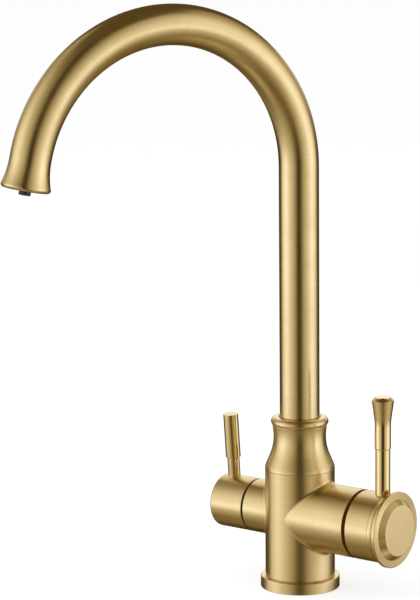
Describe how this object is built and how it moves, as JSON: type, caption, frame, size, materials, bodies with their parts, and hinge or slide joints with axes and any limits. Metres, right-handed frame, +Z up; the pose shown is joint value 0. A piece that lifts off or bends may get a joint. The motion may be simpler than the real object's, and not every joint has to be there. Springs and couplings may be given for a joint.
{
  "type": "three way filtered water tap",
  "caption": "Deck-mounted swan-neck kitchen tap with a tilting side mixer lever, an opposite filtered-water lever and a swivel spout with an inner nozzle.",
  "frame": {"origin": "centre of the base, on the deck it stands on", "axes": "+Z up along the column and riser; +X along the valve axis towards the mixer lever; -Y towards the user"},
  "size_m": [0.1649, 0.2134, 0.3744],
  "materials": {
    "brushed_gold": "brushed gold, brushing round each turned form",
    "spout_gold": "satin gold, brushed round the tube",
    "cap_gold": "fine satin gold",
    "lever_gold": "smooth satin gold, closer to polished",
    "dome_gold": "satin gold in shadow",
    "plain_brass": "turned, unplated",
    "stainless": "turned",
    "black_rubber": "moulded",
    "black_plastic": "moulded satin",
    "grey_plastic": "moulded",
    "white_plastic": "moulded",
    "tube_plastic": "extruded, smooth",
    "disc_ceramic": "lapped"
  },
  "bodies": {
    "tap_body": {"base_ring": "brushed_gold", "base_seal": "black_rubber", "valve_body": "brushed_gold", "neck_bonnet": "brushed_gold", "lower_swivel_washer": "white_plastic", "upper_swivel_washer": "white_plastic", "collar_bush": "black_plastic", "riser_fitting": "plain_brass", "riser_o_ring": "black_rubber", "cartridge_base": "white_plastic", "cartridge_port_seals": "black_rubber", "fixed_ceramic_disc": "disc_ceramic", "cartridge_shell": "white_plastic", "cartridge_nut": "plain_brass", "cartridge_dome": "dome_gold", "filter_valve_seal": "black_rubber", "filter_fixed_disc": "disc_ceramic", "filter_valve_shell": "plain_brass", "filter_glide_ring": "black_plastic"},
    "spout": {"spout_tube": "spout_gold", "spout_spigot": "plain_brass", "spigot_o_rings": "black_rubber", "filtered_water_tube": "tube_plastic", "aerator_housing": "black_plastic", "aerator_core": "grey_plastic", "aerator_seal": "black_rubber", "filtered_nozzle": "black_plastic"},
    "cartridge_rotor": {"cartridge_carrier": "white_plastic", "tilt_pin": "stainless"},
    "sliding_disc": {"moving_ceramic_disc": "disc_ceramic", "disc_driver": "white_plastic"},
    "mixer_handle": {"cartridge_spindle": "plain_brass", "mixer_hub": "brushed_gold", "mixer_hub_screw": "stainless", "mixer_end_cap": "cap_gold", "mixer_lever_stem": "lever_gold", "mixer_lever_knob": "lever_gold"},
    "filter_handle": {"filter_moving_disc": "disc_ceramic", "filter_spindle": "plain_brass", "filter_spindle_ring": "black_rubber", "filter_spindle_clip": "stainless", "filter_hub": "brushed_gold", "filter_grub_screw": "stainless", "filter_lever_stem": "lever_gold", "filter_lever_knob": "lever_gold"}
  },
  "joints": [
    {"name": "spout_swivel", "type": "hinge", "parent": "tap_body", "child": "spout", "pos_m": [0, 0, 0.09], "axis": [0, 0, 1], "continuous": true},
    {"name": "temperature", "type": "hinge", "parent": "tap_body", "child": "cartridge_rotor", "pos_m": [0.03195, 0, 0.0472], "axis": [1, 0, 0], "range_deg": [-45, 45]},
    {"name": "flow", "type": "hinge", "parent": "cartridge_rotor", "child": "mixer_handle", "pos_m": [0.03195, 0, 0.0472], "axis": [0, 1, 0], "range_deg": [0, 20]},
    {"name": "disc_slide", "type": "slide", "parent": "cartridge_rotor", "child": "sliding_disc", "axis": [0, 0, 1], "range_m": [0, 0.0028]},
    {"name": "filter_quarter_turn", "type": "hinge", "parent": "tap_body", "child": "filter_handle", "pos_m": [-0.0505, 0, 0.0472], "axis": [1, 0, 0], "range_deg": [0, 90]}
  ],
  "couplings": [
    {"joint": "disc_slide", "follows": "flow", "m_per_rad": 0.0078385}
  ]
}
